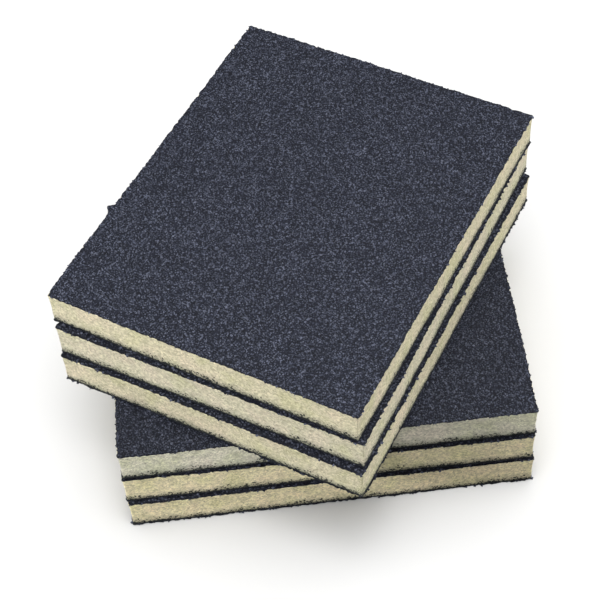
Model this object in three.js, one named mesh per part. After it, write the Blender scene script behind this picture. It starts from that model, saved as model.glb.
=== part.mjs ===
// Double-sided foam sanding blocks, stored as two small piles laid crosswise.
// Units are millimetres, +Z is up, and the origin is the middle of the underside of the whole stack.
import * as THREE from "three";

// One block: a rectangular foam slab with an abrasive coat on each broad face.
const BLOCK = {
  length: 123,
  width: 98,
  thickness: 12,
  cornerRadius: 0.5,
};
const GRIT_COAT = 7 / 16; // resin-bound grains
const BOND_COAT = 3 / 16; // resin that soaks into the foam skin and holds the grains
const FOAM_CORE = BLOCK.thickness - 2 * (GRIT_COAT + BOND_COAT);
const RESTING_GAP = 1 / 8; // the peaks of two facing grit coats keep them this far apart
const PITCH = BLOCK.thickness + RESTING_GAP;
const CORNER_SEGMENTS = 4;

// Where each pile stands, how far it is turned, and how each of its blocks has settled, from the bottom up.
const PILES = [
  {
    centre: [0.9, -8.4],
    turn: -0.2,
    blocks: [
      { shift: [0.1, -0.6], turn: 0 },
      { shift: [0, 0], turn: -0.35 },
      { shift: [0, 0.4], turn: -0.15 },
    ],
  },
  {
    centre: [-0.1, 0.1],
    turn: 57.2,
    blocks: [
      { shift: [0, -1.6], turn: -0.1 },
      { shift: [0, 0.25], turn: 0.55 },
      { shift: [-0.1, 1.4], turn: -0.4 },
    ],
  },
];

// The sub-parts of one block, from the bottom up.
const LAYERS = [
  { name: "lower_grit_coat", thickness: GRIT_COAT, material: gritMaterial },
  { name: "lower_bond_coat", thickness: BOND_COAT, material: bondMaterial },
  { name: "foam_core", thickness: FOAM_CORE, material: foamMaterial },
  { name: "upper_bond_coat", thickness: BOND_COAT, material: bondMaterial },
  { name: "upper_grit_coat", thickness: GRIT_COAT, material: gritMaterial },
];

function gritMaterial() {
  return new THREE.MeshStandardMaterial({
    color: 0x3e424e,
    roughness: 0.9,
    metalness: 0,
  });
}

function bondMaterial() {
  return new THREE.MeshStandardMaterial({
    color: 0x2b2e33,
    roughness: 0.7,
    metalness: 0,
  });
}

function foamMaterial() {
  return new THREE.MeshStandardMaterial({
    color: 0xdcd4ac,
    roughness: 1,
    metalness: 0,
  });
}

// The die-cut outline: a rectangle about the origin with its four corners rounded.
function blockOutline() {
  const halfLength = BLOCK.length / 2;
  const halfWidth = BLOCK.width / 2;
  const radius = BLOCK.cornerRadius;
  const outline = new THREE.Shape();
  const corners = [
    [halfLength - radius, radius - halfWidth, -Math.PI / 2],
    [halfLength - radius, halfWidth - radius, 0],
    [radius - halfLength, halfWidth - radius, Math.PI / 2],
    [radius - halfLength, radius - halfWidth, Math.PI],
  ];
  for (const [x, y, start] of corners) {
    outline.absarc(x, y, radius, start, start + Math.PI / 2, false);
  }
  outline.closePath();
  return outline;
}

// One layer of a block, standing on z = 0.
function layerMesh(name, thickness, material) {
  const slab = new THREE.ExtrudeGeometry(blockOutline(), {
    depth: thickness,
    bevelEnabled: false,
    curveSegments: CORNER_SEGMENTS,
  });
  const mesh = new THREE.Mesh(slab, material());
  mesh.name = name;
  return mesh;
}

// A whole block, standing on z = 0, with its layers in the order of LAYERS.
function sandingBlock(number) {
  const block = new THREE.Group();
  let height = 0;
  for (const layer of LAYERS) {
    const mesh = layerMesh(`block_${number}_${layer.name}`, layer.thickness, layer.material);
    mesh.position.z = height;
    block.add(mesh);
    height += layer.thickness;
  }
  return block;
}

// One pile: its blocks from the bottom up, each shifted and turned a little on the one below.
function pileOf(pile, firstNumber) {
  const group = new THREE.Group();
  pile.blocks.forEach((place, index) => {
    const block = sandingBlock(firstNumber + index);
    block.position.set(place.shift[0], place.shift[1], index * PITCH);
    block.rotation.z = THREE.MathUtils.degToRad(pile.turn + place.turn);
    group.add(block);
  });
  group.position.set(pile.centre[0], pile.centre[1], 0);
  return group;
}

// Both piles, the second on top of the first, with blocks numbered from 1 at the bottom.
function stackOfPiles() {
  const stack = new THREE.Group();
  let blocksBelow = 0;
  for (const pile of PILES) {
    const group = pileOf(pile, blocksBelow + 1);
    group.position.z = blocksBelow * PITCH;
    stack.add(group);
    blocksBelow += pile.blocks.length;
  }
  return stack;
}

// Moves the stack sideways until the middle of its box stands over the origin.
function centred(stack) {
  stack.updateMatrixWorld(true);
  const middle = new THREE.Box3().setFromObject(stack, true).getCenter(new THREE.Vector3());
  stack.position.set(-middle.x, -middle.y, 0);
  return stack;
}

const sandingBlocks = new THREE.Group();
sandingBlocks.add(centred(stackOfPiles()));

export default sandingBlocks;
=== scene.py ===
"""The visual model of six double-sided foam sanding blocks that lie in two crossed piles.

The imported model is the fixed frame. Every layer of every block is replaced by a detailed piece: a
die-cut foam core with open cells, a resin bond coat with stray crumbs on the foam, and a grit coat
grown from single grains.
"""

import logging
import math
from dataclasses import dataclass
from enum import Enum

import bpy
import numpy as np
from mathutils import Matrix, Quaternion, Vector


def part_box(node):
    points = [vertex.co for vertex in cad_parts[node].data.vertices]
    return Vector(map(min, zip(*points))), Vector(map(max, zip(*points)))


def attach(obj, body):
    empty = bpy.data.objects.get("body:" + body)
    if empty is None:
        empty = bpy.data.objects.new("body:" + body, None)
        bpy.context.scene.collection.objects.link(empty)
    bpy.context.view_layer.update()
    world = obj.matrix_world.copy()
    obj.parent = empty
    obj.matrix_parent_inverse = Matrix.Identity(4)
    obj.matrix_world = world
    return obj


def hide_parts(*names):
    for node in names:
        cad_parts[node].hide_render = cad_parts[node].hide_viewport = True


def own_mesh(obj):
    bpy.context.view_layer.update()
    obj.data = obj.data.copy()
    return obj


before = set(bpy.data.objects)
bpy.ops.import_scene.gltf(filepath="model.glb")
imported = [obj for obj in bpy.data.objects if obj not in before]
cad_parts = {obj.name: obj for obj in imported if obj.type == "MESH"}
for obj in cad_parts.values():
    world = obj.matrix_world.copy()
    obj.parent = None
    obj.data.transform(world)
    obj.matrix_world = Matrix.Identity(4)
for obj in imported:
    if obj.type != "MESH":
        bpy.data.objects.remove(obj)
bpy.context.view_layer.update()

Socket = bpy.types.NodeSocket
Colour = tuple[float, float, float]
Pattern = tuple[float, float]  # the size of a pattern in metres, and how strong it is

MM = 0.001
BLOCKS = range(1, 7)
TOP_BLOCKS = (3, 6)  # the top block of each pile, whose upper coat is in plain sight
UP = Vector((0.0, 0.0, 1.0))
WHITE = (1.0, 1.0, 1.0, 1.0)
GRIT_SLOT = "abrasive_grit"
BOND_SLOT = "resin_bond"
FOAM_SLOT = "cream_foam"

# The names that meshes carry values under, for the node trees and the materials.
TONE = "grain_tone"
SHARE = "grain_share"
HEIGHT = "wall_height"
OUTWARD = "outward"
WARMTH = "batch_warmth"
# painted light: how much paler or darker each block's foam is painted
PAINTED_LIGHT_LEVEL = "foam_painted_light_level"
KEPT = "kept_surface"

# How warm each block's foam is, from 0 for greyish cream to 1 for straw, and its painted light level.
WARMTH_OF_BLOCK = {1: 0.85, 2: 0.8, 3: 0.1, 4: 0.55, 5: 0.4, 6: 0.55}
# Painted light: the lower pile's foam is painted paler and the upper pile's darker, in place of light.
PAINTED_LIGHT_LEVEL_OF_BLOCK = {1: 1.2, 2: 1.2, 3: 1.2, 4: 0.9, 5: 0.91, 6: 0.91}

# Each kind of chance starts its seeds at a number of its own.
CRUMB_SEEDS = 500
GRIT_EDGE_SEEDS = 1000
BOND_EDGE_SEEDS = 2000
FOAM_DEPTH_SEEDS = 3000

# The smallest nicks, as shares of the widest and the deepest.
NARROWEST_NICK = 0.4
SHALLOWEST_NICK = 0.25

log = logging.getLogger("sanding_blocks")


class Lit(Enum):
    """What a light falls on: a name, and how the floor stands in the light's list of receivers."""

    BLOCKS = ("blocks", "EXCLUDE")
    FLOOR = ("floor", "INCLUDE")


class Side(Enum):
    """One of the two broad faces of a block: the word that the frame's node names use for it."""

    LOWER = "lower"
    UPPER = "upper"


def placed(name: str, data: bpy.types.ID) -> bpy.types.Object:
    """Puts a new object in the scene, at the origin.

    Args:
        name: The object's name.
        data: Its mesh, camera or light.

    Returns:
        The new object.
    """
    thing = bpy.data.objects.new(name, data)
    bpy.context.scene.collection.objects.link(thing)
    return thing


# --------------------------------------------------------------------------------------------------
# Node trees
# --------------------------------------------------------------------------------------------------


class NodeTree:
    """A node tree that is built step by step, with nodes wired by the names of their sockets."""

    def __init__(self, tree: bpy.types.NodeTree) -> None:
        """Wraps an empty node tree."""
        self.tree = tree

    def add(
        self, kind: str, wires: dict[int | str, object] | None = None, **settings: object
    ) -> bpy.types.Node:
        """Adds one node, sets it up and wires its inputs.

        Args:
            kind: The node's type name in Blender.
            wires: For each input, by name or number, either the socket that feeds it or its value.
            **settings: Properties of the node itself, such as an operation.

        Returns:
            The new node.
        """
        node = self.tree.nodes.new(kind)
        for name, value in settings.items():
            setattr(node, name, value)
        for key, source in (wires or {}).items():
            self.wire(node.inputs[key], source)
        return node

    def wire(self, socket: Socket, source: object) -> None:
        """Feeds an input socket from an output socket, or gives it a plain value.

        Args:
            socket: The input socket.
            source: An output socket or a plain value.
        """
        if isinstance(source, Socket):
            self.tree.links.new(source, socket)
        else:
            socket.default_value = source

    def maths(self, operation: str, *terms: object, clamp: bool = False) -> Socket:
        """Adds a Math node.

        Args:
            operation: The node's operation.
            *terms: Its inputs in order, each a socket or a number.
            clamp: Whether the result is kept between 0 and 1.

        Returns:
            The node's output socket.
        """
        wires = dict(enumerate(terms))
        return self.add("ShaderNodeMath", wires, operation=operation, use_clamp=clamp).outputs[0]

    def length(self, vector: Socket) -> Socket:
        """The length of a vector or a colour."""
        return self.add("ShaderNodeVectorMath", {0: vector}, operation="LENGTH").outputs["Value"]

    def scaled(self, vector: Socket, factor: object) -> Socket:
        """A vector or a colour times a number."""
        wires = {0: vector, "Scale": factor}
        return self.add("ShaderNodeVectorMath", wires, operation="SCALE").outputs[0]


class GeometryTree(NodeTree):
    """A geometry node tree with named inputs. It is run on a mesh and leaves a plain mesh behind."""

    def __init__(self, name: str, numbers: tuple[str, ...], whole: tuple[str, ...] = ()) -> None:
        """Makes a tree that takes a mesh, numbers and a material, and gives a mesh back.

        Args:
            name: The tree's name.
            numbers: The names of its number inputs.
            whole: The names of its inputs that are whole numbers.
        """
        super().__init__(bpy.data.node_groups.new(name, "GeometryNodeTree"))
        kinds = {"Geometry": "Geometry", **dict.fromkeys(numbers, "Float")}
        kinds |= {**dict.fromkeys(whole, "Int"), "Material": "Material"}
        self.sockets: dict[str, str] = {}
        for key, kind in kinds.items():
            socket = self.tree.interface.new_socket(key, in_out="INPUT", socket_type=f"NodeSocket{kind}")
            self.sockets[key] = socket.identifier
        self.tree.interface.new_socket("Geometry", in_out="OUTPUT", socket_type="NodeSocketGeometry")
        self.inputs = self.tree.nodes.new("NodeGroupInput")
        self.output = self.tree.nodes.new("NodeGroupOutput")

    def given(self, name: str) -> Socket:
        """The socket inside the tree that carries a named input."""
        return self.inputs.outputs[name]

    def stored(self, name: str, form: str = "FLOAT") -> Socket:
        """The value that the mesh carries under a name."""
        node = self.add("GeometryNodeInputNamedAttribute", {"Name": name}, data_type=form)
        return node.outputs["Attribute"]

    def faces_above(self, value: Socket, limit: float) -> Socket:
        """The faces of the tree's mesh whose value is above a limit.

        Args:
            value: The value's socket.
            limit: The limit.

        Returns:
            The geometry of those faces.
        """
        chosen = self.add("FunctionNodeCompare", {0: value, 1: limit}, operation="GREATER_THAN")
        wires = {"Geometry": self.given("Geometry"), "Selection": chosen.outputs[0]}
        return self.add("GeometryNodeSeparateGeometry", wires, domain="FACE").outputs["Selection"]

    def moved(self, geometry: Socket, offset: Socket) -> Socket:
        """The geometry with each point moved by an offset."""
        return self.add("GeometryNodeSetPosition", {"Geometry": geometry, "Offset": offset}).outputs[0]

    def realized(self, geometry: Socket) -> Socket:
        """The geometry with its instances made real."""
        return self.add("GeometryNodeRealizeInstances", {"Geometry": geometry}).outputs[0]

    def finish(self, geometry: Socket) -> None:
        """Ends the tree in Realize Instances and Set Material.

        Args:
            geometry: The geometry to end with.
        """
        wires = {"Geometry": self.realized(geometry), "Material": self.given("Material")}
        dressed = self.add("GeometryNodeSetMaterial", wires)
        self.tree.links.new(dressed.outputs[0], self.output.inputs[0])

    def run(self, base: bpy.types.Mesh, name: str, values: dict[str, object]) -> bpy.types.Object:
        """Runs the tree on a mesh.

        Args:
            base: The mesh that the tree starts from. It is removed afterwards.
            name: The name of the piece that comes out.
            values: The value of each named input.

        Returns:
            A plain mesh object at the origin, with no modifier.
        """
        draft = placed(name + "_draft", base)
        modifier = draft.modifiers.new(self.tree.name, "NODES")
        modifier.node_group = self.tree
        for key, value in values.items():
            modifier[self.sockets[key]] = value
        evaluated = draft.evaluated_get(bpy.context.evaluated_depsgraph_get())
        mesh = bpy.data.meshes.new_from_object(evaluated)
        bpy.data.objects.remove(draft)
        bpy.data.meshes.remove(base)
        mesh.name = name
        return placed(name, mesh)


@dataclass
class GrainTree:
    """Grows grains on a surface: scattered points, each with a crystal of its own shape."""

    corners_round: int = 4
    rings: int = 2
    tones: tuple[float, float] = (0.12, 1.0)
    sizes: tuple[float, float] = (0.62, 1.25)
    tilt: float = 0.5
    stray: tuple[float, float, float] = (1.0, 1.0, 0.6)

    def build(self) -> GeometryTree:
        """Builds the tree.

        Returns:
            The tree, with inputs for the spacing, size, shape and seed of the grains.
        """
        numbers = ("Spacing", "Grains per Area", "Width", "Height", "Irregularity")
        tree = GeometryTree("grain_growth", numbers, ("Seed",))
        grains = self._roughened(tree, self._crystals(tree, self._points(tree)))
        joined = tree.add("GeometryNodeJoinGeometry")
        for part in (tree.faces_above(tree.stored(KEPT), 0.5), grains):
            tree.tree.links.new(part, joined.inputs[0])
        tree.finish(joined.outputs[0])
        return tree

    def _points(self, tree: GeometryTree) -> Socket:
        """The places where grains grow, each with a tone of its own.

        Args:
            tree: The tree to build in.

        Returns:
            The points, which carry their tone.
        """
        share = tree.stored(SHARE)
        wires = {
            "Mesh": tree.faces_above(share, 0.0),
            "Distance Min": tree.given("Spacing"),
            "Density Max": tree.given("Grains per Area"),
            "Density Factor": share,
            "Seed": tree.given("Seed"),
        }
        scattered = tree.add("GeometryNodeDistributePointsOnFaces", wires, distribute_method="POISSON")
        tone = self._chance(tree, self.tones, tree.given("Seed"))
        wires = {"Geometry": scattered.outputs["Points"], "Name": TONE, "Value": tone}
        form = {"data_type": "FLOAT", "domain": "POINT"}
        return tree.add("GeometryNodeStoreNamedAttribute", wires, **form).outputs[0]

    def _crystals(self, tree: GeometryTree, points: Socket) -> Socket:
        """A crystal at each point, turned and sized by chance.

        Args:
            tree: The tree to build in.
            points: The points where grains grow.

        Returns:
            The crystals, made real.
        """
        wires = {"Segments": self.corners_round, "Rings": self.rings, "Radius": 0.5}
        crystal = tree.add("GeometryNodeMeshUVSphere", wires)
        limits = {"Min": (-self.tilt, -self.tilt, 0.0), "Max": (self.tilt, self.tilt, math.tau)}
        wires = {**limits, "Seed": tree.given("Seed")}
        turn = tree.add("FunctionNodeRandomValue", wires, data_type="FLOAT_VECTOR")
        size = self._chance(tree, self.sizes, tree.maths("ADD", tree.given("Seed"), 1))
        across = tree.maths("MULTIPLY", size, tree.given("Width"))
        tall = tree.maths("MULTIPLY", size, tree.given("Height"))
        wires = {
            "Points": points,
            "Instance": crystal.outputs["Mesh"],
            "Rotation": turn.outputs[0],
            "Scale": tree.add("ShaderNodeCombineXYZ", {0: across, 1: across, 2: tall}).outputs[0],
        }
        return tree.realized(tree.add("GeometryNodeInstanceOnPoints", wires).outputs[0])

    def _roughened(self, tree: GeometryTree, grains: Socket) -> Socket:
        """The grains with each corner moved a little, so that no two are alike.

        Args:
            tree: The tree to build in.
            grains: The crystals.

        Returns:
            The finished grains.
        """
        wires = {
            "Min": tuple(-reach for reach in self.stray),
            "Max": self.stray,
            "ID": tree.add("GeometryNodeInputIndex").outputs[0],
            "Seed": tree.given("Seed"),
        }
        stray = tree.add("FunctionNodeRandomValue", wires, data_type="FLOAT_VECTOR")
        reach = tree.maths("MULTIPLY", tree.given("Irregularity"), tree.given("Width"))
        return tree.moved(grains, tree.scaled(stray.outputs[0], reach))

    @staticmethod
    def _chance(tree: GeometryTree, limits: tuple[float, float], seed: object) -> Socket:
        """A random number between two limits for each point.

        Args:
            tree: The tree to build in.
            limits: The lower and the upper limit.
            seed: The seed's socket.

        Returns:
            The number's socket.
        """
        node = tree.add("FunctionNodeRandomValue", data_type="FLOAT")
        ends = [socket for socket in node.inputs if socket.enabled and socket.name in ("Min", "Max")]
        for socket, limit in zip(ends, limits):
            socket.default_value = limit
        tree.wire(node.inputs["Seed"], seed)
        return next(socket for socket in node.outputs if socket.enabled)


@dataclass
class FoamTree:
    """Gives the die-cut wall of a foam core its torn cells: fine noise, and pores that are cut open."""

    detail: float = 2.0
    roughness: float = 0.65
    level: float = 0.55
    pore_narrowing: float = 2.2

    def build(self) -> GeometryTree:
        """Builds the tree.

        Returns:
            The tree, with inputs for the size and depth of the cells and of the pores.
        """
        numbers = ("Cell Size", "Cell Depth", "Pore Size", "Pore Depth", "Pore Share")
        tree = GeometryTree("foam_cells", numbers)
        position = tree.add("GeometryNodeInputPosition").outputs[0]
        depth = tree.maths("ADD", self._cells(tree, position), self._pores(tree, position))
        offset = tree.scaled(tree.stored(OUTWARD, "FLOAT_VECTOR"), depth)
        tree.finish(tree.moved(tree.given("Geometry"), offset))
        return tree

    def _cells(self, tree: GeometryTree, position: Socket) -> Socket:
        """How far the torn cell walls stand in or out.

        Args:
            tree: The tree to build in.
            position: The position of each point.

        Returns:
            The distance, above 0 where it stands out.
        """
        wires = {
            "Vector": position,
            "Scale": tree.maths("DIVIDE", 1.0, tree.given("Cell Size")),
            "Detail": self.detail,
            "Roughness": self.roughness,
        }
        noise = tree.add("ShaderNodeTexNoise", wires)
        centred = tree.maths("SUBTRACT", noise.outputs[0], self.level)
        return tree.maths("MULTIPLY", centred, tree.maths("MULTIPLY", tree.given("Cell Depth"), 2.0))

    def _pores(self, tree: GeometryTree, position: Socket) -> Socket:
        """How far an open pore goes in: below 0 inside a pore, and 0 elsewhere.

        Args:
            tree: The tree to build in.
            position: The position of each point.

        Returns:
            The distance's socket.
        """
        wires = {"Vector": position, "Scale": tree.maths("DIVIDE", 1.0, tree.given("Pore Size"))}
        cell = tree.add("ShaderNodeTexVoronoi", wires)
        chosen = tree.maths("LESS_THAN", tree.length(cell.outputs["Color"]), tree.given("Pore Share"))
        away = tree.maths("MULTIPLY", cell.outputs["Distance"], self.pore_narrowing)
        hollow = tree.maths("SUBTRACT", 1.0, away, clamp=True)
        depth = tree.maths("MULTIPLY", tree.maths("MULTIPLY", chosen, hollow), tree.given("Pore Depth"))
        return tree.maths("MULTIPLY", depth, -1.0)


# --------------------------------------------------------------------------------------------------
# Shader effects that more than one finish uses
# --------------------------------------------------------------------------------------------------


class ShaderGroup(NodeTree):
    """A shader node group that gives one value for a place, by the size and amount of its pattern."""

    def __init__(self, name: str) -> None:
        """Makes an empty group with its inputs and its output.

        Args:
            name: The group's name.
        """
        super().__init__(bpy.data.node_groups.new(name, "ShaderNodeTree"))
        face = self.tree.interface
        for key, kind in (("Vector", "Vector"), ("Size", "Float"), ("Amount", "Float")):
            face.new_socket(key, in_out="INPUT", socket_type=f"NodeSocket{kind}")
        face.new_socket("Value", in_out="OUTPUT", socket_type="NodeSocketFloat")
        self.inputs = self.tree.nodes.new("NodeGroupInput")
        self.output = self.tree.nodes.new("NodeGroupOutput")

    def given(self, name: str) -> Socket:
        """The socket inside the group that carries a named input."""
        return self.inputs.outputs[name]

    def giving(self, source: Socket) -> bpy.types.NodeTree:
        """Sends a value out of the group, which is then complete."""
        self.tree.links.new(source, self.output.inputs["Value"])
        return self.tree

    def dots(self) -> Socket:
        """Cells of the group's size, each with a random value from 0 to 1."""
        cells = self._texture("ShaderNodeTexVoronoi")
        return self.add("ShaderNodeSeparateColor", {0: cells.outputs["Color"]}).outputs[0]

    def noise(self, detail: float, roughness: object) -> Socket:
        """Noise of the group's size, about 0.5."""
        return self._texture("ShaderNodeTexNoise", Detail=detail, Roughness=roughness).outputs[0]

    def about_one(self, source: Socket) -> Socket:
        """A value about 0.5 made one about 1, and spread by the group's amount."""
        centred = self.maths("SUBTRACT", source, 0.5)
        return self.maths("MULTIPLY_ADD", centred, self.given("Amount"), 1.0)

    def _texture(self, kind: str, **wires: object) -> bpy.types.Node:
        """A texture whose features have the group's size."""
        scale = self.maths("DIVIDE", 1.0, self.given("Size"))
        return self.add(kind, {"Vector": self.given("Vector"), "Scale": scale, **wires})


@dataclass
class Effects:
    """The shader groups, built once and placed in each material with its own values."""

    speckle: bpy.types.NodeTree
    mottle: bpy.types.NodeTree
    pits: bpy.types.NodeTree
    crumbs: bpy.types.NodeTree

    @classmethod
    def built(cls) -> "Effects":
        """Builds all the groups."""
        return cls(cls._speckle(), cls._mottle(), cls._pits(), cls._crumbs())

    @staticmethod
    def _crumbs() -> bpy.types.NodeTree:
        """A mask of separate dots that cover a share of the surface, the amount, such as stray grains."""
        group = ShaderGroup("crumbs")
        return group.giving(group.maths("LESS_THAN", group.dots(), group.given("Amount")))

    @staticmethod
    def _speckle() -> bpy.types.NodeTree:
        """Fine dots of one size, each with a brightness of its own, such as grains or cell walls."""
        group = ShaderGroup("speckle")
        return group.giving(group.about_one(group.dots()))

    @staticmethod
    def _mottle() -> bpy.types.NodeTree:
        """Soft patches that are lighter or darker than 1."""
        group = ShaderGroup("mottle")
        return group.giving(group.about_one(group.noise(detail=3.0, roughness=0.55)))

    @staticmethod
    def _pits() -> bpy.types.NodeTree:
        """A rough surface as a height from 0 to 1, for a bump. The amount is how rough it is."""
        group = ShaderGroup("pits")
        return group.giving(group.noise(detail=4.0, roughness=group.given("Amount")))


class MaterialTree(NodeTree):
    """A material's own nodes: one Principled BSDF, and what feeds it."""

    def __init__(self, name: str) -> None:
        """Makes a material with an unset Principled BSDF.

        Args:
            name: The material's name.
        """
        self.material = bpy.data.materials.new(name)
        self.material.use_nodes = True
        super().__init__(self.material.node_tree)
        self.shader = self.tree.nodes["Principled BSDF"]
        self.place = self.add("ShaderNodeTexCoord").outputs["Object"]

    def effect(self, group: bpy.types.NodeTree, size: object, amount: object) -> Socket:
        """Places a shared effect in the material, with a size and an amount."""
        wires = {"Vector": self.place, "Size": size, "Amount": amount}
        return self.add("ShaderNodeGroup", wires, node_tree=group).outputs[0]

    def reading(self, name: str) -> Socket:
        """The number that a piece carries under a name."""
        return self.add("ShaderNodeAttribute", attribute_name=name).outputs["Fac"]

    def ramp(self, source: object, stops: list[tuple[float, Colour]]) -> Socket:
        """A colour that follows a number.

        Args:
            source: The number's socket.
            stops: Each stop's place and colour, in order.

        Returns:
            The colour's socket.
        """
        node = self.add("ShaderNodeValToRGB", {0: source})
        while len(node.color_ramp.elements) < len(stops):
            node.color_ramp.elements.new(1.0)
        for element, (place, colour) in zip(node.color_ramp.elements, stops):
            element.position = place
            element.color = (*colour, 1.0)
        return node.outputs[0]

    def span(self, source: object, low: float, high: float, to_low: float, to_high: float) -> Socket:
        """Maps a number from one range, low to high, to another, and keeps it inside."""
        ends = {"From Min": low, "From Max": high, "To Min": to_low, "To Max": to_high}
        return self.add("ShaderNodeMapRange", {"Value": source, **ends}).outputs[0]

    def blend(self, share: object, first: object, second: object, way: str = "MIX") -> Socket:
        """Mixes two colours.

        Args:
            share: How much of the second there is.
            first: The first colour, as a socket or a colour.
            second: The second colour, as a socket or a colour.
            way: The blend type.

        Returns:
            The mixed colour's socket.
        """
        node = self.add("ShaderNodeMix", data_type="RGBA", blend_type=way)
        for key, source in ((0, share), (6, first), (7, second)):
            self.wire(node.inputs[key], (*source, 1.0) if isinstance(source, tuple) else source)
        return node.outputs[2]


@dataclass(frozen=True)
class Finish:
    """What every finish has. The bump is how deep its pits are, in metres."""

    name: str = "plain"
    shine: float = 0.1
    roughness: float = 0.95
    pits: Pattern = (0.0005, 0.6)
    bump: float = 0.0001

    def material(self, effects: Effects) -> bpy.types.Material:
        """Builds the material.

        Args:
            effects: The shared effects.

        Returns:
            The material.
        """
        tree = MaterialTree(self.name)
        height = tree.effect(effects.pits, *self.pits)
        bump = tree.add("ShaderNodeBump", {"Height": height, "Distance": self.bump, "Strength": 1.0})
        fed = {
            "Base Color": self._colour(tree, effects),
            "Roughness": self._roughness(tree),
            "Specular IOR Level": self.shine,
            "Normal": bump.outputs[0],
        }
        for key, source in fed.items():
            tree.wire(tree.shader.inputs[key], source)
        return tree.material

    def _colour(self, tree: MaterialTree, effects: Effects) -> Socket:
        """The base colour, which each finish makes for itself."""
        raise NotImplementedError

    def _roughness(self, tree: MaterialTree) -> object:
        """The roughness: a number, or a socket where it isn't the same all over."""
        return self.roughness


@dataclass(frozen=True)
class GritFinish(Finish):
    """Blue-grey abrasive grains in dark resin, with a few that catch the light."""

    name: str = GRIT_SLOT
    shine: float = 0.16
    pits: Pattern = (0.00035, 0.6)
    bump: float = 0.00006
    resin: Colour = (0.006, 0.007, 0.012)
    dull: Colour = (0.018, 0.0205, 0.031)
    plain: Colour = (0.034, 0.0385, 0.056)
    bright: Colour = (0.056, 0.062, 0.086)
    dull_tone: float = 0.2
    plain_tone: float = 0.6
    dull_roughness: float = 0.75
    bright_roughness: float = 0.5
    speckle: Pattern = (0.0005, 0.9)
    mottle: Pattern = (0.012, 0.3)

    def _colour(self, tree: MaterialTree, effects: Effects) -> Socket:
        """The grains' colour by their tone, made uneven.

        Args:
            tree: The tree to build in.
            effects: The shared effects.

        Returns:
            The colour's socket.
        """
        middle = [(self.dull_tone, self.dull), (self.plain_tone, self.plain)]
        colour = tree.ramp(tree.reading(TONE), [(0.0, self.resin), *middle, (1.0, self.bright)])
        colour = tree.scaled(colour, tree.effect(effects.speckle, *self.speckle))
        return tree.scaled(colour, tree.effect(effects.mottle, *self.mottle))

    def _roughness(self, tree: MaterialTree) -> object:
        """The roughness, which falls from dull grains to bright ones."""
        ends = (self.dull_roughness, self.bright_roughness)
        return tree.span(tree.reading(TONE), self.dull_tone, 1.0, *ends)


@dataclass(frozen=True)
class ResinFinish(Finish):
    """Dark cured resin that has soaked into the foam skin."""

    name: str = BOND_SLOT
    shine: float = 0.35
    roughness: float = 0.6
    deep: Colour = (0.012, 0.014, 0.016)
    thin: Colour = (0.05, 0.052, 0.05)
    thin_tone: float = 0.6
    speckle: Pattern = (0.0003, 0.8)

    def _colour(self, tree: MaterialTree, effects: Effects) -> Socket:
        """The resin's colour, paler on some of the crumbs.

        Args:
            tree: The tree to build in.
            effects: The shared effects.

        Returns:
            The colour's socket.
        """
        stops = [(0.0, self.deep), (self.thin_tone, self.deep), (1.0, self.thin)]
        colour = tree.ramp(tree.reading(TONE), stops)
        return tree.scaled(colour, tree.effect(effects.speckle, *self.speckle))


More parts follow.
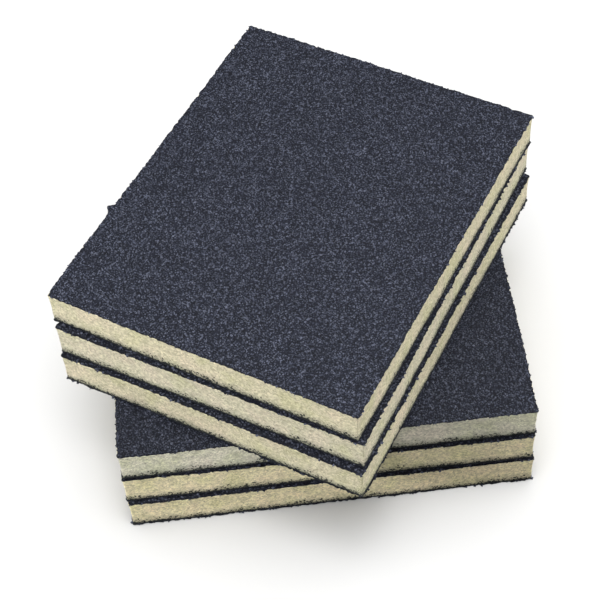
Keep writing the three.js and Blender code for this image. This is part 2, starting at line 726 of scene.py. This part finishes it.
@dataclass(frozen=True)
class FoamFinish(Finish):
    """Cream open-cell foam, darkened from its lower edge by painted shade, resin and stray grit."""

    name: str = FOAM_SLOT
    pits: Pattern = (0.0005, 0.7)
    bump: float = 0.00025
    cream: Colour = (0.60, 0.575, 0.43)
    pink: Colour = (0.645, 0.59, 0.46)
    straw: Colour = (0.56, 0.55, 0.375)
    warm: Colour = (1.08, 1.0, 0.83)
    grey: Colour = (0.90, 0.92, 1.0)
    grit: Colour = (0.022, 0.025, 0.026)
    # greenish grey of painted shade and soaked-in resin, for the lower edge and the pores
    shade_and_resin_haze: Colour = (0.17, 0.18, 0.145)
    patches: Pattern = (0.009, 1.6)
    patch_range: tuple[float, float] = (0.75, 1.25)
    cream_hue: float = 0.45
    speckle: Pattern = (0.0005, 0.48)
    mottle: Pattern = (0.0011, 0.7)
    pores: Pattern = (0.0004, 0.016)
    pore_shade_strength: float = 0.45
    drift: Pattern = (0.006, 1.8)
    lumps: Pattern = (0.0009, 1.8)
    shade_and_resin_haze_height: float = 0.0042
    shade_and_resin_haze_fall: float = 1.6
    shade_and_resin_haze_strength: float = 0.85
    grit_height: float = 0.0030
    grit_fall: float = 2.0
    grit_cover: float = 0.5
    grit_sizes: tuple[float, float] = (0.0004, 0.0006)
    grit_strength: float = 0.92
    shade_and_resin_foot_height: float = 0.00016
    shade_and_resin_foot_strength: float = 2.5

    def _colour(self, tree: MaterialTree, effects: Effects) -> Socket:
        """The foam's colour in patches, tinted by batch, painted paler or darker per block, and made
        uneven, with painted shade in the pores.

        Args:
            tree: The tree to build in.
            effects: The shared effects.

        Returns:
            The colour's socket.
        """
        hue = tree.span(tree.effect(effects.mottle, *self.patches), *self.patch_range, 0.0, 1.0)
        stops = [(0.0, self.straw), (self.cream_hue, self.cream), (1.0, self.pink)]
        batch = tree.blend(tree.reading(WARMTH), self.grey, self.warm)
        colour = tree.blend(1.0, tree.ramp(hue, stops), batch, "MULTIPLY")
        # Painted light: each block's foam is painted paler or darker by its painted light level.
        colour = tree.scaled(colour, tree.reading(PAINTED_LIGHT_LEVEL))
        colour = tree.scaled(colour, tree.effect(effects.speckle, *self.speckle))
        colour = tree.scaled(colour, tree.effect(effects.mottle, *self.mottle))
        # Painted shade: the open pores are darkened towards the haze colour.
        pores = tree.effect(effects.crumbs, *self.pores)
        colour = tree.blend(tree.maths("MULTIPLY", pores, self.pore_shade_strength), colour, self.shade_and_resin_haze)
        return self._darkened(tree, effects, colour)

    def _darkened(self, tree: MaterialTree, effects: Effects, colour: object) -> Socket:
        """The colour with the haze of painted shade and resin, the stray grains, and the dark foot of
        painted shade and resin, that rise from the lower edge.

        Args:
            tree: The tree to build in.
            effects: The shared effects.
            colour: The foam's own colour.

        Returns:
            The colour's socket.
        """
        # Painted shade and soaked-in resin: a haze that darkens the wall towards its lower edge.
        drift = tree.effect(effects.mottle, *self.drift)
        reach = tree.maths("MULTIPLY", drift, tree.effect(effects.mottle, *self.lumps))
        shade_and_resin_haze = tree.maths("POWER", self._share(tree, reach, self.shade_and_resin_haze_height), self.shade_and_resin_haze_fall)
        colour = tree.blend(tree.maths("MULTIPLY", shade_and_resin_haze, self.shade_and_resin_haze_strength), colour, self.shade_and_resin_haze)
        rise = tree.maths("POWER", self._share(tree, drift, self.grit_height), self.grit_fall)
        cover = tree.maths("MULTIPLY", rise, self.grit_cover)
        for size in self.grit_sizes:
            grains = tree.effect(effects.crumbs, size, cover)
            colour = tree.blend(tree.maths("MULTIPLY", grains, self.grit_strength), colour, self.grit)
        # Painted shade in the crease above the coat, with resin: a near-black foot along the lower edge.
        foot = self._share(tree, reach, self.shade_and_resin_foot_height)
        foot = tree.maths("MULTIPLY", foot, self.shade_and_resin_foot_strength, clamp=True)
        return tree.blend(foot, colour, self.grit)

    @staticmethod
    def _share(tree: MaterialTree, reach: object, top: float) -> Socket:
        """1 at the lower edge, falling to 0 at a height that drifts along the wall.

        Args:
            tree: The tree to build in.
            reach: How far the height drifts, about 1.
            top: The height, in metres.

        Returns:
            The share's socket.
        """
        limit = tree.maths("MULTIPLY", reach, top)
        height = tree.maths("DIVIDE", tree.reading(HEIGHT), limit)
        return tree.maths("SUBTRACT", 1.0, height, clamp=True)


@dataclass(frozen=True)
class FloorFinish(Finish):
    """A plain pale studio table that throws less light back on the blocks than it shows.

    Seen by the camera, it fades into the white surroundings between the two sweep distances.
    """

    name: str = "studio_floor"
    roughness: float = 0.8
    pits: Pattern = (0.01, 0.6)
    bump: float = 0.00001
    pale: Colour = (0.45, 0.45, 0.45)
    indirect: Colour = (0.20, 0.20, 0.20)
    mottle: Pattern = (0.4, 0.02)
    sweep_start: float = 0.22
    sweep_end: float = 0.9

    def _colour(self, tree: MaterialTree, effects: Effects) -> Socket:
        """The floor's colour, and the glow of its far part.

        Args:
            tree: The tree to build in.
            effects: The shared effects.

        Returns:
            The colour's socket.
        """
        direct = tree.add("ShaderNodeLightPath").outputs["Is Camera Ray"]
        colour = tree.blend(direct, self.indirect, self.pale)
        sweep = tree.span(tree.length(tree.place), self.sweep_start, self.sweep_end, 0.0, 1.0)
        tree.wire(tree.shader.inputs["Emission Color"], WHITE)
        tree.wire(tree.shader.inputs["Emission Strength"], tree.maths("MULTIPLY", sweep, direct))
        return tree.scaled(colour, tree.effect(effects.mottle, *self.mottle))


@dataclass(frozen=True)
class Finishes:
    """The materials of the whole set."""

    grit: bpy.types.Material
    resin: bpy.types.Material
    foam: bpy.types.Material
    floor: bpy.types.Material

    @classmethod
    def built(cls, effects: Effects) -> "Finishes":
        """Builds each material from the shared effects."""
        finishes = (GritFinish(), ResinFinish(), FoamFinish(), FloorFinish())
        return cls(*(finish.material(effects) for finish in finishes))


# --------------------------------------------------------------------------------------------------
# The outline of a block
# --------------------------------------------------------------------------------------------------


@dataclass(frozen=True)
class Plot:
    """Where one block lies: its middle, its turn about the vertical, and its length and width."""

    middle: np.ndarray
    turn: float
    length: float
    width: float

    @classmethod
    def of(cls, node: str) -> "Plot":
        """Reads a layer's place from the frame.

        Args:
            node: The name of one of the block's CAD nodes.

        Returns:
            The plot of that node.
        """
        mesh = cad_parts[node].data
        walls = [f for f in mesh.polygons if abs(f.normal.z) < 0.5]
        widest = max(walls, key=lambda f: f.area)
        turn = math.atan2(widest.normal.y, widest.normal.x) + math.pi / 2
        low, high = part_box(node)
        middle = np.array(((low + high) / 2)[:2])
        points = np.array([v.co[:2] for v in mesh.vertices]) - middle
        along = points @ np.array((math.cos(turn), math.sin(turn)))
        across = points @ np.array((-math.sin(turn), math.cos(turn)))
        return cls(middle, turn, float(np.ptp(along)), float(np.ptp(across)))

    def to_frame(self, flat: np.ndarray) -> np.ndarray:
        """Turns and moves points from the block's own plane into the frame."""
        return self.turned(flat) + self.middle

    def turned(self, flat: np.ndarray) -> np.ndarray:
        """Turns directions from the block's own plane into the frame."""
        c, s = math.cos(self.turn), math.sin(self.turn)
        return flat @ np.array(((c, s), (-s, c)))


@dataclass(frozen=True)
class Outline:
    """A closed outline: points in order, the outward direction at each, and how far round each one is."""

    points: np.ndarray
    outward: np.ndarray
    travel: np.ndarray
    total: float

    @classmethod
    def rounded(cls, plot: Plot, radius: float, step: float) -> "Outline":
        """A rectangle with rounded corners, in the block's own plane.

        Args:
            plot: The block's plot, for its length and width.
            radius: The corners' radius.
            step: The distance from one point to the next.

        Returns:
            The outline, anticlockwise.
        """
        half = np.array((plot.length, plot.width)) / 2 - radius
        corners = [np.array((sx, sy)) * half for sx, sy in ((1, -1), (1, 1), (-1, 1), (-1, -1))]
        points, outward = [], []
        for i, corner in enumerate(corners):
            start = math.pi / 2 * (i - 1)
            turns = max(3, round(radius * math.pi / 2 / step))
            for angle in start + np.linspace(0, math.pi / 2, turns, endpoint=False):
                way = np.array((math.cos(angle), math.sin(angle)))
                points.append(corner + radius * way)
                outward.append(way)
            way = np.array((math.cos(start + math.pi / 2), math.sin(start + math.pi / 2)))
            first, last = corner + radius * way, corners[(i + 1) % 4] + radius * way
            count = max(2, round(float(np.linalg.norm(last - first)) / step))
            for share in np.linspace(0, 1, count, endpoint=False):
                points.append(first + (last - first) * share)
                outward.append(way)
        placed = np.array(points)
        steps = np.linalg.norm(np.roll(placed, -1, axis=0) - placed, axis=1)
        travel = np.concatenate(([0.0], np.cumsum(steps)[:-1]))
        return cls(placed, np.array(outward), travel, float(steps.sum()))

    def moved(self, distance: np.ndarray | float) -> np.ndarray:
        """The points, each moved outwards by its distance."""
        return self.points + self.outward * np.reshape(distance, (-1, 1))


def wander(
    outline: Outline, reach: float, wavelength: float, chance: np.random.Generator
) -> np.ndarray:
    """A smooth random offset that closes on itself round an outline.

    Args:
        outline: The outline.
        reach: The largest offset, about.
        wavelength: The distance from one random value to the next.
        chance: The source of random numbers.

    Returns:
        One offset for each point.
    """
    knots = max(4, round(outline.total / wavelength))
    values = chance.uniform(-reach, reach, knots)
    place = outline.travel / outline.total * knots
    low = np.floor(place).astype(int) % knots
    share = place - np.floor(place)
    smooth = share * share * (3 - 2 * share)
    return values[low] * (1 - smooth) + values[(low + 1) % knots] * smooth


def nicks(
    outline: Outline, count: int, depth: float, width: float, chance: np.random.Generator
) -> np.ndarray:
    """Small bites out of an outline.

    Args:
        outline: The outline.
        count: How many bites there are.
        depth: The depth of the deepest.
        width: The width of the widest.
        chance: The source of random numbers.

    Returns:
        One offset for each point, 0 or below.
    """
    bitten = np.zeros(len(outline.points))
    for _ in range(count):
        away = np.abs(outline.travel - chance.uniform(0, outline.total))
        away = np.minimum(away, outline.total - away)
        half = width / 2 * chance.uniform(NARROWEST_NICK, 1.0)
        bite = depth * chance.uniform(SHALLOWEST_NICK, 1.0) ** 2 * np.clip(1 - away / half, 0, 1)
        bitten = np.minimum(bitten, -bite)
    return bitten


def ring_faces(first: int, rings: int, count: int) -> list[tuple[int, ...]]:
    """The faces between rings of points.

    Args:
        first: The number of the lowest ring's first point.
        rings: How many rings there are.
        count: How many points each ring has.

    Returns:
        The corners of each face, ring by ring from the bottom up.
    """
    starts = range(first, first + (rings - 1) * count, count)
    sides = [(i, (i + 1) % count) for i in range(count)]
    return [(k + i, k + j, k + count + j, k + count + i) for k in starts for i, j in sides]


class Shell:
    """A closed mesh made of rings of points, one above another, with a fan over each end."""

    def __init__(self, rings: list[np.ndarray]) -> None:
        """Makes the points and faces.

        Args:
            rings: The rings from the bottom up, each with as many points, anticlockwise from above.
        """
        self.count = len(rings[0])
        self.levels = len(rings)
        ends = np.array((rings[0].mean(axis=0), rings[-1].mean(axis=0)))
        self.points = np.concatenate((*rings, ends))
        self.faces = ring_faces(0, self.levels, self.count) + self._caps()

    def _caps(self) -> list[tuple[int, ...]]:
        """The fans over the bottom and the top.

        Returns:
            The corners of each face, the bottom fan first.
        """
        n, top = self.count, (self.levels - 1) * self.count
        bottom_middle, top_middle = self.levels * n, self.levels * n + 1
        below = [((i + 1) % n, i, bottom_middle) for i in range(n)]
        above = [(top + i, top + (i + 1) % n, top_middle) for i in range(n)]
        return below + above

    def mesh(self, name: str) -> bpy.types.Mesh:
        """The mesh itself.

        Args:
            name: The mesh's name.

        Returns:
            The new mesh.
        """
        made = bpy.data.meshes.new(name)
        made.from_pydata(self.points.tolist(), [], self.faces)
        return made

    @property
    def wall_faces(self) -> int:
        """How many faces the walls have. They come first, and the bottom fan and the top fan follow."""
        return self.count * (self.levels - 1)


def carry(mesh: bpy.types.Mesh, name: str, domain: str, values: np.ndarray) -> None:
    """Stores a number or a direction on a mesh under a name.

    Args:
        mesh: The mesh.
        name: The name to store it under.
        domain: POINT or FACE.
        values: One number, or one direction, for each point or face.
    """
    form, key = ("FLOAT", "value") if values.ndim == 1 else ("FLOAT_VECTOR", "vector")
    attribute = mesh.attributes.new(name, form, domain)
    attribute.data.foreach_set(key, values.astype(np.float32).ravel())


def raised(flat: np.ndarray, height: float | np.ndarray) -> np.ndarray:
    """Flat points with a height added."""
    return np.column_stack((flat, np.broadcast_to(height, len(flat))))


# --------------------------------------------------------------------------------------------------
# The layers of a block
# --------------------------------------------------------------------------------------------------


@dataclass
class Cutter:
    """The die that a block is cut with."""

    radius: float = 0.45 * MM
    step: float = 0.4 * MM
    drift: float = 0.12 * MM
    drift_length: float = 14.0 * MM

    def outline(self, plot: Plot) -> Outline:
        """The outline that the die leaves, before its faults."""
        return Outline.rounded(plot, self.radius, self.step)

    def strayed(self, outline: Outline, number: int) -> np.ndarray:
        """How far the die strays along a block's outline, which is the same for all of its layers."""
        return wander(outline, self.drift, self.drift_length, np.random.default_rng(number))


@dataclass
class Coat:
    """A thin resin sheet on one broad face of a block, and the grains that grow on it."""

    number: int
    side: Side
    layer: str = ""
    slot: str = ""
    ragged: float = 0.16 * MM
    ragged_length: float = 1.1 * MM

    @property
    def node(self) -> str:
        """The CAD node that this coat stands for."""
        return f"block_{self.number}_{self.side.value}_{self.layer}_coat"

    @property
    def seed(self) -> int:
        """A number that no other coat of this layer has."""
        return self.number * 10 + int(self.side is Side.UPPER)

    def build(self, cutter: Cutter, grains: GeometryTree, finishes: Finishes) -> bpy.types.Object:
        """Builds and dresses the coat.

        Args:
            cutter: The die that cuts the outline.
            grains: The tree that grows the grains.
            finishes: The materials.

        Returns:
            The finished piece.
        """
        name = f"block_{self.number}_{self.side.value}_{self.layer}"
        piece = grains.run(self._sheet(cutter), name, self._growth(finishes))
        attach(piece, body_of(self.number, self.side))
        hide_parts(self.node)
        return piece

    def _growth(self, finishes: Finishes) -> dict[str, object]:
        """The inputs of the tree that grows the grains, which each layer has for itself."""
        raise NotImplementedError

    def _sheet(self, cutter: Cutter) -> bpy.types.Mesh:
        """The mesh that the grains grow on, which each layer makes for itself."""
        raise NotImplementedError

    def _edge(self, cutter: Cutter, outline: Outline, chance: np.random.Generator) -> np.ndarray:
        """How far the sheet's edge stands out at each point: the die's drift and a ragged tear."""
        drift = cutter.strayed(outline, self.number)
        return drift + wander(outline, self.ragged, self.ragged_length, chance)

    def _marked(self, shell: Shell, share: np.ndarray, kept: np.ndarray) -> bpy.types.Mesh:
        """The sheet's mesh, with each face's share of grains and whether the face is kept.

        Args:
            shell: The sheet.
            share: The share of grains on each face.
            kept: 1 for each face that is kept, and 0 for the others.

        Returns:
            The new mesh.
        """
        mesh = shell.mesh(self.node)
        carry(mesh, SHARE, "FACE", share)
        carry(mesh, KEPT, "FACE", kept)
        carry(mesh, TONE, "POINT", np.zeros(len(shell.points)))
        return mesh


@dataclass
class GritCoat(Coat):
    """One abrasive coat: a thin resin sheet with a ragged outline, and the grains that stand on it."""

    layer: str = "grit"
    slot: str = GRIT_SLOT
    ragged: float = 0.19 * MM
    ragged_length: float = 0.85 * MM
    sheet: float = 0.17 * MM
    nick_count: int = 130
    nick_depth: float = 0.65 * MM
    nick_width: float = 1.3 * MM
    outset: float = 0.13 * MM
    fine_pitch: float = 0.49 * MM
    fine_width: float = 0.78 * MM
    coarse_pitch: float = 0.74 * MM
    coarse_width: float = 1.04 * MM
    grain_height: float = 0.40 * MM
    irregularity: float = 0.15
    grains_per_area: float = 6.0e6
    edge_share: float = 0.25

    def _growth(self, finishes: Finishes) -> dict[str, object]:
        """The grains' size and spacing: finest on the coats that are in plain sight.

        Args:
            finishes: The materials.

        Returns:
            The inputs of the tree that grows the grains.
        """
        in_sight = self.side is Side.UPPER and self.number in TOP_BLOCKS
        return {
            "Spacing": self.fine_pitch if in_sight else self.coarse_pitch,
            "Grains per Area": self.grains_per_area,
            "Width": self.fine_width if in_sight else self.coarse_width,
            "Height": self.grain_height,
            "Irregularity": self.irregularity,
            "Seed": self.seed,
            "Material": finishes.grit,
        }

    def _sheet(self, cutter: Cutter) -> bpy.types.Mesh:
        """The resin sheet. Grains grow all over its outer face, and thinly on its edge.

        Args:
            cutter: The die that cuts the outline.

        Returns:
            The sheet's mesh.
        """
        chance = np.random.default_rng(GRIT_EDGE_SEEDS + self.seed)
        plot = Plot.of(self.node)
        outline = cutter.outline(plot)
        edge = self._edge(cutter, outline, chance)
        edge = edge + nicks(outline, self.nick_count, self.nick_depth, self.nick_width, chance)
        low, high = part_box(self.node)
        upper = self.side is Side.UPPER
        levels = (low.z, low.z + self.sheet) if upper else (high.z - self.sheet, high.z)
        flat = plot.to_frame(outline.moved(edge + self.outset))
        shell = Shell([raised(flat, level) for level in levels])
        share = np.zeros(len(shell.faces))
        share[: shell.wall_faces] = self.edge_share
        outer = slice(-shell.count, None) if upper else slice(shell.wall_faces, -shell.count)
        share[outer] = 1.0
        return self._marked(shell, share, np.ones(len(shell.faces)))


@dataclass
class BondCoat(Coat):
    """The resin between foam and grit: a thin dark sheet, and crumbs of it that stick to the foam."""

    layer: str = "bond"
    slot: str = BOND_SLOT
    inset: float = 0.06 * MM
    skirt: float = 1.2 * MM
    skirt_rings: int = 4
    skirt_share: float = 0.4
    crumb_width: float = 0.36 * MM
    crumb_spacing: float = 0.22 * MM
    crumbs_per_area: float = 5.0e6
    irregularity: float = 0.2

    def _growth(self, finishes: Finishes) -> dict[str, object]:
        """The crumbs' size and spacing.

        Args:
            finishes: The materials.

        Returns:
            The inputs of the tree that grows the crumbs.
        """
        return {
            "Spacing": self.crumb_spacing,
            "Grains per Area": self.crumbs_per_area,
            "Width": self.crumb_width,
            "Height": self.crumb_width,
            "Irregularity": self.irregularity,
            "Seed": CRUMB_SEEDS + self.seed,
            "Material": finishes.resin,
        }

    def _sheet(self, cutter: Cutter) -> bpy.types.Mesh:
        """The resin sheet, and on the lower coat the strip of foam wall that stray crumbs stick to.

        Args:
            cutter: The die that cuts the outline.

        Returns:
            The sheet's mesh.
        """
        chance = np.random.default_rng(BOND_EDGE_SEEDS + self.seed)
        plot = Plot.of(self.node)
        outline = cutter.outline(plot)
        edge = self._edge(cutter, outline, chance) - self.inset
        flat = plot.to_frame(outline.moved(edge))
        shell = Shell([raised(flat, corner.z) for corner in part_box(self.node)])
        kept = np.ones(len(shell.faces))
        share = np.zeros(len(shell.faces))
        if self.side is Side.LOWER:
            thinning = self._add_skirt(shell, cutter)
            kept = np.concatenate((kept, np.zeros(len(thinning))))
            share = np.concatenate((share, thinning))
        return self._marked(shell, share, kept)

    def _add_skirt(self, shell: Shell, cutter: Cutter) -> np.ndarray:
        """Adds the strip of foam wall to the sheet's mesh.

        Args:
            shell: The sheet.
            cutter: The die that cuts the outline.

        Returns:
            The share of crumbs on each of the strip's faces, which thins out upwards.
        """
        wall = FoamCore(self.number)
        rises = np.linspace(0.0, self.skirt, self.skirt_rings)
        first, n = len(shell.points), shell.count
        shell.points = np.concatenate((shell.points, *(wall.ring(cutter, rise) for rise in rises)))
        shell.faces += ring_faces(first, self.skirt_rings, n)
        shares = np.linspace(self.skirt_share, 0.0, self.skirt_rings)[:-1] ** 2
        return np.repeat(shares, n)


@dataclass
class FoamCore:
    """The foam between the coats: a die-cut wall with torn cells that pulls in under its lower edge."""

    number: int
    levels: int = 28
    undercut: float = 0.16 * MM
    undercut_height: float = 2.2 * MM
    hollow: float = 0.16 * MM
    lip: float = 0.14 * MM
    lip_height: float = 0.8 * MM
    sway: float = 0.3
    sway_length: float = 9.0 * MM
    cell_size: float = 0.9 * MM
    cell_depth: float = 0.13 * MM
    pore_size: float = 1.1 * MM
    pore_depth: float = 0.30 * MM
    pore_share: float = 0.55
    lower_edge_tear: float = 0.3
    upper_edge_tear: float = 0.6
    fill: float = 0.95

    @property
    def node(self) -> str:
        """The CAD node that this core stands for."""
        return f"block_{self.number}_foam_core"

    def build(self, cutter: Cutter, cells: GeometryTree, finishes: Finishes) -> bpy.types.Object:
        """Builds and dresses the core, and gives it a mesh of its own.

        Args:
            cutter: The die that cuts the outline.
            cells: The tree that tears the cells open.
            finishes: The materials.

        Returns:
            The finished piece.
        """
        values = {
            "Cell Size": self.cell_size,
            "Cell Depth": self.cell_depth,
            "Pore Size": self.pore_size,
            "Pore Depth": self.pore_depth,
            "Pore Share": self.pore_share,
            "Material": finishes.foam,
        }
        piece = cells.run(self._wall(cutter), f"block_{self.number}_foam", values)
        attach(piece, body_of(self.number, Side.LOWER))
        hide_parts(self.node)
        self._press(piece)
        return piece

    def _press(self, piece: bpy.types.Object) -> None:
        """Gives the piece a mesh of its own.

        Args:
            piece: The foam core's piece.
        """
        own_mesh(piece)

    def ring(self, cutter: Cutter, height: float) -> np.ndarray:
        """The points of the die-cut wall at a height above the core's lower edge.

        Args:
            cutter: The die that cuts the outline.
            height: The height.

        Returns:
            The ring's points in the frame.
        """
        plot = Plot.of(self.node)
        outline = cutter.outline(plot)
        chance = np.random.default_rng(FOAM_DEPTH_SEEDS + self.number)
        depth = wander(outline, self.sway, self.sway_length, chance) + 1.0
        low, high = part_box(self.node)
        inward = self._profile(height, high.z - low.z) * depth
        flat = outline.moved(cutter.strayed(outline, self.number) - inward)
        return raised(plot.to_frame(flat), low.z + height)

    def _wall(self, cutter: Cutter) -> bpy.types.Mesh:
        """The core's closed mesh, with each point's height above the lower edge and its way out.

        Args:
            cutter: The die that cuts the outline.

        Returns:
            The core's mesh.
        """
        plot = Plot.of(self.node)
        low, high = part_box(self.node)
        heights = np.linspace(0.0, high.z - low.z, self.levels)
        shell = Shell([self.ring(cutter, height) for height in heights])
        mesh = shell.mesh(self.node)
        outward = raised(plot.turned(cutter.outline(plot).outward), 0.0)
        torn = np.tile(outward, (self.levels, 1))
        torn[: shell.count] *= self.lower_edge_tear
        torn[-shell.count :] *= self.upper_edge_tear
        middles = np.zeros((2, 3))
        carry(mesh, OUTWARD, "POINT", np.concatenate((torn, middles)))
        rise = np.concatenate((np.repeat(heights, shell.count), heights[[0, -1]]))
        carry(mesh, HEIGHT, "POINT", rise)
        # Each block's warmth, and its painted light level, which paints its foam paler or darker.
        for name, values in ((WARMTH, WARMTH_OF_BLOCK), (PAINTED_LIGHT_LEVEL, PAINTED_LIGHT_LEVEL_OF_BLOCK)):
            carry(mesh, name, "POINT", np.full(len(shell.points), values[self.number]))
        mesh.polygons.foreach_set("use_smooth", [True] * len(mesh.polygons))
        return mesh

    def _profile(self, height: float, thickness: float) -> float:
        """How far the wall stands in: most above the lower edge, some half-way up, out at the top.

        Args:
            height: The height above the lower edge.
            thickness: The core's thickness.

        Returns:
            The distance inwards, below 0 where the wall stands out.
        """
        foot = max(0.0, 1 - height / self.undercut_height) ** 2 * self.undercut
        waist = math.sin(math.pi * height / thickness) * self.hollow
        lip = max(0.0, 1 - (thickness - height) / self.lip_height) ** 2 * self.lip
        return foot + waist - lip


def body_of(number: int, side: Side) -> str:
    """The CAD body that carries one face of a block."""
    return f"block_{number}_{'face' if side is Side.UPPER else 'base'}"


@dataclass
class Workshop:
    """What every block is made with."""

    cutter: Cutter
    grains: GeometryTree
    cells: GeometryTree
    finishes: Finishes

    @classmethod
    def opened(cls) -> "Workshop":
        """Builds the trees and the finishes."""
        finishes = Finishes.built(Effects.built())
        return cls(Cutter(), GrainTree().build(), FoamTree().build(), finishes)


@dataclass
class SandingBlock:
    """One block: a foam core with a bond coat and a grit coat on each broad face."""

    number: int

    def build(self, shop: Workshop) -> list[bpy.types.Object]:
        """Builds every layer of the block.

        Args:
            shop: The tools and finishes.

        Returns:
            The block's pieces.
        """
        pieces = [FoamCore(self.number).build(shop.cutter, shop.cells, shop.finishes)]
        for side in Side:
            for coat in (BondCoat(self.number, side), GritCoat(self.number, side)):
                pieces.append(coat.build(shop.cutter, shop.grains, shop.finishes))
        return pieces


# --------------------------------------------------------------------------------------------------
# The studio
# --------------------------------------------------------------------------------------------------


def aimed(
    data: bpy.types.ID, azimuth: float, elevation: float, distance: float, target: Vector
) -> bpy.types.Object:
    """Puts a camera or a light in the scene, where it looks at a target.

    Args:
        data: The camera's or light's own data, whose name the object gets.
        azimuth: Where it stands round the vertical, in degrees from the front.
        elevation: How high it stands, in degrees above the floor.
        distance: How far it is from the target.
        target: The point that it looks at.

    Returns:
        The new object.
    """
    around, above = math.radians(azimuth), math.radians(elevation)
    flat = math.cos(above)
    back = Vector((math.sin(around) * flat, -math.cos(around) * flat, math.sin(above)))
    thing = placed(data.name, data)
    thing.location = target + back * distance
    thing.rotation_mode = "QUATERNION"
    thing.rotation_quaternion = (-back).to_track_quat("-Z", "Y")
    return thing


@dataclass
class ProductCamera:
    """The camera, given by where it looks from and what it looks at. Angles are in degrees."""

    azimuth: float = -3.0
    elevation: float = 51.8
    roll: float = -4.05
    distance: float = 501.4 * MM
    target: tuple[float, float, float] = (-2.1 * MM, -6.7 * MM, 36.4 * MM)
    lens: float = 97.4
    near: float = 0.01
    far: float = 20.0

    def build(self) -> None:
        """Makes the camera and gives it to the scene."""
        data = bpy.data.cameras.new("product_camera")
        data.lens = self.lens
        data.clip_start, data.clip_end = self.near, self.far
        camera = aimed(data, self.azimuth, self.elevation, self.distance, Vector(self.target))
        camera.rotation_quaternion @= Quaternion(UP, math.radians(self.roll))
        bpy.context.scene.camera = camera


@dataclass
class SoftLight:
    """A round soft light that looks at the foot of the stack. Angles are in degrees, power in watts."""

    name: str
    lit: Lit
    azimuth: float
    elevation: float
    power: float
    size: float
    distance: float = 1.2

    def build(self, receivers: dict[Lit, bpy.types.Collection]) -> None:
        """Makes the light.

        Args:
            receivers: For each thing to light, the collection that says so.
        """
        data = bpy.data.lights.new(self.name, "AREA")
        data.shape = "DISK"
        data.energy, data.size = self.power, self.size
        light = aimed(data, self.azimuth, self.elevation, self.distance, Vector())
        light.light_linking.receiver_collection = receivers[self.lit]


@dataclass
class Studio:
    """The plain floor, the lights and the surroundings, which are white to the camera."""

    floor_half: float = 4.0
    ambient: float = 0.02
    lights: tuple[SoftLight, ...] = (
        SoftLight("dome", Lit.FLOOR, 0.0, 89.0, 53.0, 2.4),
        SoftLight("floor_key", Lit.FLOOR, 0.0, 75.0, 6.0, 0.65),
        SoftLight("floor_overhead", Lit.FLOOR, 0.0, 89.0, 4.5, 0.5),
        SoftLight("overhead", Lit.BLOCKS, -60.0, 86.0, 11.8, 0.75),
        SoftLight("key", Lit.BLOCKS, -62.0, 42.0, 3.15, 0.14, distance=0.6),
        SoftLight("front", Lit.BLOCKS, -20.0, 35.0, 1.35, 0.2, distance=0.8),
        SoftLight("fill", Lit.BLOCKS, 95.0, 40.0, 17.8, 0.35),
    )

    def build(self, floor: bpy.types.Material) -> None:
        """Lays the floor and sets up the lights.

        Args:
            floor: The floor's material.
        """
        half = self.floor_half
        corners = [(-half, -half, 0), (half, -half, 0), (half, half, 0), (-half, half, 0)]
        mesh = bpy.data.meshes.new("studio_floor")
        mesh.from_pydata(corners, [], [(0, 1, 2, 3)])
        mesh.materials.append(floor)
        plane = placed("studio_floor", mesh)
        receivers = {}
        for lit in Lit:
            word, state = lit.value
            receivers[lit] = bpy.data.collections.new(f"receivers_{word}")
            receivers[lit].objects.link(plane)
            receivers[lit].collection_objects[0].light_linking.link_state = state
        for light in self.lights:
            light.build(receivers)
        self._surround()

    def _surround(self) -> None:
        """Makes the surroundings: white to the camera, and nearly dark to everything else."""
        world = bpy.data.worlds.new("studio")
        world.use_nodes = True
        tree = NodeTree(world.node_tree)
        path = tree.add("ShaderNodeLightPath")
        wires = {"Value": path.outputs["Is Camera Ray"], "To Min": self.ambient}
        strength = tree.add("ShaderNodeMapRange", wires).outputs["Result"]
        background = world.node_tree.nodes["Background"]
        tree.wire(background.inputs["Color"], WHITE)
        tree.wire(background.inputs["Strength"], strength)
        bpy.context.scene.world = world
        bpy.context.scene.view_settings.view_transform = "Standard"


def main() -> None:
    """Builds the camera, the studio and the blocks."""
    logging.basicConfig(level=logging.INFO, format="%(name)s: %(message)s")
    ProductCamera().build()
    shop = Workshop.opened()
    Studio().build(shop.finishes.floor)
    for number in BLOCKS:
        for piece in SandingBlock(number).build(shop):
            log.info("%s: %d faces", piece.name, len(piece.data.polygons))


if __name__ == "__main__":
    main()
